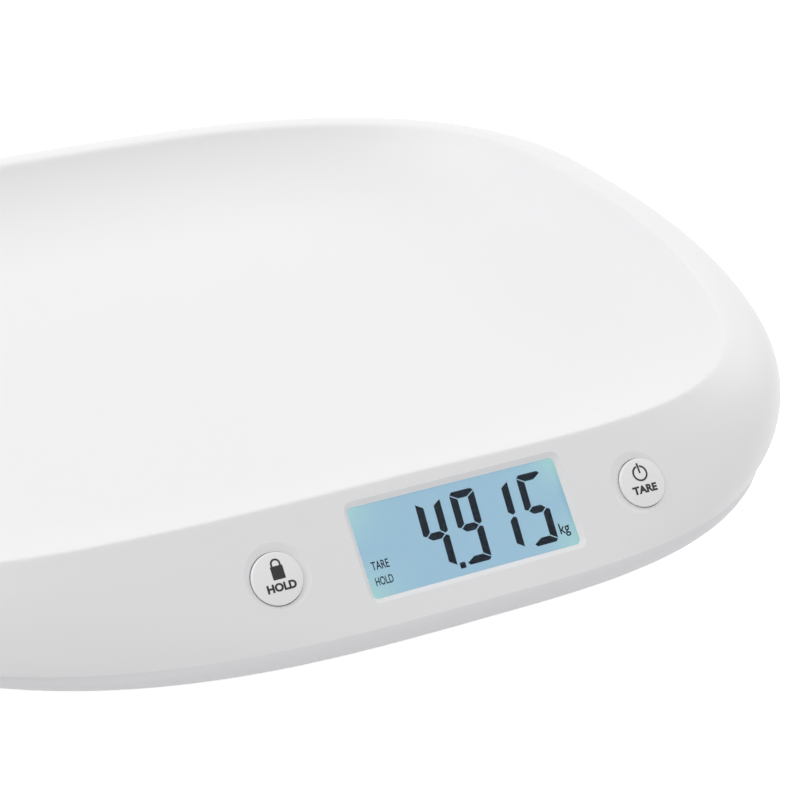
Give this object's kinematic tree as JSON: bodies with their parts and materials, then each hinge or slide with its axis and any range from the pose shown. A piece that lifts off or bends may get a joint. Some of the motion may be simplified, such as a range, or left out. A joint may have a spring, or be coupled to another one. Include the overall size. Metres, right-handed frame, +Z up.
{
  "type": "digital baby weighing scale",
  "caption": "Digital baby scale: white dished weighing tray with raised rim, sloped front panel with backlit display and two round push buttons, on rubber-tipped feet.",
  "frame": {"origin": "on the surface it stands on, under the middle of its outline", "axes": "+Z up, +X to the user's right, +Y away from the user; the control panel faces the front, -Y"},
  "size_m": [0.4958, 0.4519, 0.0819],
  "materials": {
    "tray_plastic": "semi-gloss white moulded plastic",
    "base_plastic": "satin white moulded plastic",
    "button_plastic": "satin white plastic",
    "inner_plastic": "matt dark plastic",
    "window_clear": "clear acrylic window",
    "lcd_glass": "backlit blue liquid crystal display",
    "light_guide": "milky light guide",
    "contact_rubber": "banded contact rubber",
    "board_green": "glass-fibre board with green lacquer",
    "steel": "zinc-plated steel",
    "cell_steel": "stamped load cell steel",
    "battery_wrap": "printed battery sleeve",
    "lead_red": "insulated lead",
    "lead_grey": "insulated lead",
    "pad_rubber": "non-slip rubber"
  },
  "bodies": {
    "scale": {"backlight": "light_guide", "base_cover": "base_plastic", "battery_1": "battery_wrap", "battery_2": "battery_wrap", "battery_3": "battery_wrap", "battery_4": "battery_wrap", "battery_box": "base_plastic", "battery_leads": "lead_red", "battery_plates": "steel", "battery_springs": "steel", "board_screws": "steel", "buzzer": "inner_plastic", "case_screws": "steel", "cell_carrier_front_left": "inner_plastic", "cell_carrier_front_right": "inner_plastic", "cell_carrier_rear_left": "inner_plastic", "cell_carrier_rear_right": "inner_plastic", "cell_leads": "lead_grey", "cell_screws": "steel", "circuit_board": "board_green", "contact_strips": "contact_rubber", "controller_chip": "inner_plastic", "display_window": "window_clear", "foot_front_left": "base_plastic", "foot_front_right": "base_plastic", "foot_pad_front_left": "pad_rubber", "foot_pad_front_right": "pad_rubber", "foot_pad_rear_left": "pad_rubber", "foot_pad_rear_right": "pad_rubber", "foot_rear_left": "base_plastic", "foot_rear_right": "base_plastic", "hold_switch": "inner_plastic", "lcd_frame": "inner_plastic", "lcd_panel": "lcd_glass", "load_cell_front_left": "cell_steel", "load_cell_front_right": "cell_steel", "load_cell_rear_left": "cell_steel", "load_cell_rear_right": "cell_steel", "support_frame": "inner_plastic", "tare_switch": "inner_plastic", "tray_shell": "tray_plastic"},
    "hold_key": {"hold_button": "button_plastic", "hold_plunger": "inner_plastic"},
    "tare_key": {"tare_button": "button_plastic", "tare_plunger": "inner_plastic"},
    "battery_lid": {"battery_door": "base_plastic"}
  },
  "joints": [
    {"name": "hold_press", "type": "slide", "parent": "scale", "child": "hold_key", "axis": [0, 0.7373, -0.6756], "range_m": [0, 0.0006], "stiffness_N_per_m": 600},
    {"name": "tare_press", "type": "slide", "parent": "scale", "child": "tare_key", "axis": [0, 0.7373, -0.6756], "range_m": [0, 0.0006], "stiffness_N_per_m": 600},
    {"name": "battery_door_swing", "type": "hinge", "parent": "scale", "child": "battery_lid", "pos_m": [0, 0.0543, 0.013], "axis": [1, 0, 0], "range_deg": [0, 100]}
  ]
}
